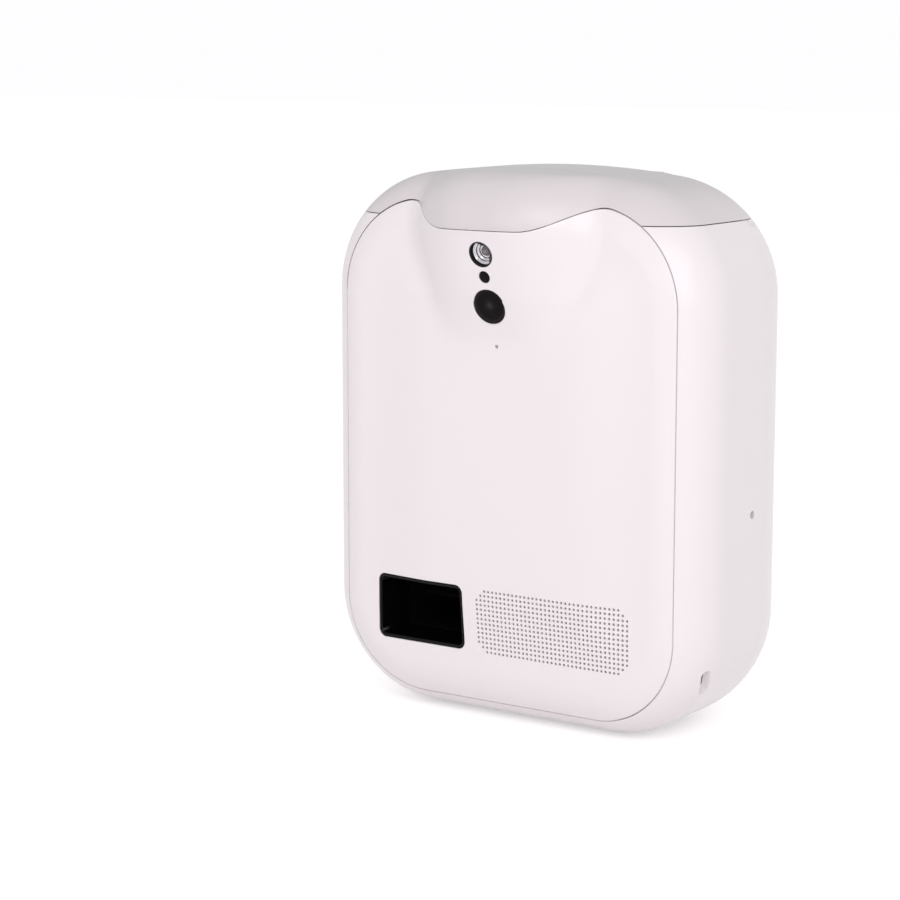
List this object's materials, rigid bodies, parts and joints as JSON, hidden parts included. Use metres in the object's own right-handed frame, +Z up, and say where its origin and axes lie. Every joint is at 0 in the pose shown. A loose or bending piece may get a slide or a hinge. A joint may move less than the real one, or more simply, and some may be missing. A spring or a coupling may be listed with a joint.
{
  "type": "treat tossing pet camera",
  "caption": "White rounded pet camera with a lens in a forward nose, a hinged hopper lid, a speaker grille and a dark treat outlet fed by a rotor and throwing wheel.",
  "frame": {"origin": "centre of the footprint, nose and hinge included, on the surface the feet stand on", "axes": "+Z up, -Y out of the front face, +X to the right seen from the front"},
  "size_m": [0.192, 0.1204, 0.24],
  "materials": {
    "white_abs": "smooth gloss",
    "lid_abs": "smooth gloss",
    "smoke_black": "polished",
    "lens_glass": "polished",
    "clear_lens": "polished",
    "chrome": "mirror",
    "pearl": "diffusing dome",
    "steel": "ground",
    "zinc": "plated",
    "magnet_nickel": "plated",
    "silicone": "soft matte",
    "foot_rubber": "matte",
    "natural_abs": "moulded",
    "black_abs": "moulded",
    "pom": "moulded",
    "motor_can": "drawn can",
    "board_green": "solder mask",
    "chip_black": "moulded",
    "cloth": "fine woven",
    "foam": "foam",
    "paper_cone": "pressed"
  },
  "bodies": {
    "case": {"board_chips": "chip_black", "board_screws": "zinc", "camera_barrel": "black_abs", "camera_board": "board_green", "camera_lens": "clear_lens", "camera_window": "lens_glass", "casing_screws": "zinc", "cover_screws": "zinc", "deck_magnets": "magnet_nickel", "deck_screws": "zinc", "dispenser_cover": "black_abs", "dispenser_frame": "black_abs", "feed_motor": "motor_can", "feet": "foot_rubber", "front_panel": "white_abs", "hopper": "natural_abs", "lamp_dome": "pearl", "lamp_reflector": "chrome", "lid_hinge_pin": "steel", "lid_seal": "silicone", "light_sensor": "black_abs", "main_board": "board_green", "microphone": "zinc", "motor_plate": "steel", "outlet_tunnel": "smoke_black", "plate_screws": "zinc", "power_board": "board_green", "power_socket": "zinc", "rear_housing": "white_abs", "reset_board": "board_green", "reset_switch": "chip_black", "sensor_window": "lens_glass", "speaker_cloth": "cloth", "speaker_cone": "paper_cone", "speaker_frame": "zinc", "speaker_gasket": "foam", "throw_motor": "motor_can"},
    "lid_body": {"lid": "lid_abs", "lid_magnets": "magnet_nickel"},
    "rotor": {"portion_rotor": "silicone", "rotor_axle": "steel", "rotor_gear": "pom"},
    "feed_drive": {"feed_pinion": "pom", "feed_motor_shaft": "steel"},
    "thrower": {"throwing_wheel": "black_abs", "wheel_axle": "steel", "wheel_gear": "pom"},
    "throw_drive": {"throw_pinion": "pom", "throw_motor_shaft": "steel"},
    "reset_plunger": {"reset_button": "black_abs"}
  },
  "joints": [
    {"name": "lid_hinge", "type": "hinge", "parent": "case", "child": "lid_body", "pos_m": [0, 0.05643, 0.219], "axis": [-1, 0, 0], "range_deg": [0, 95]},
    {"name": "rotor_spin", "type": "hinge", "parent": "case", "child": "rotor", "pos_m": [-0.0414, 0.01423, 0.104], "axis": [1, 0, 0], "continuous": true},
    {"name": "feed_motor_spin", "type": "hinge", "parent": "case", "child": "feed_drive", "pos_m": [-0.01, -0.01377, 0.104], "axis": [1, 0, 0], "continuous": true},
    {"name": "thrower_spin", "type": "hinge", "parent": "case", "child": "thrower", "pos_m": [-0.0414, 0.01423, 0.056], "axis": [1, 0, 0], "continuous": true},
    {"name": "throw_motor_spin", "type": "hinge", "parent": "case", "child": "throw_drive", "pos_m": [-0.01, 0.03423, 0.056], "axis": [1, 0, 0], "continuous": true},
    {"name": "reset_press", "type": "slide", "parent": "case", "child": "reset_plunger", "axis": [-1, 0, 0], "range_m": [0, 0.0006], "stiffness_N_per_m": 400}
  ],
  "couplings": [
    {"joint": "feed_motor_spin", "follows": "rotor_spin", "ratio": -2.5},
    {"joint": "throw_motor_spin", "follows": "thrower_spin", "ratio": -1.5}
  ]
}
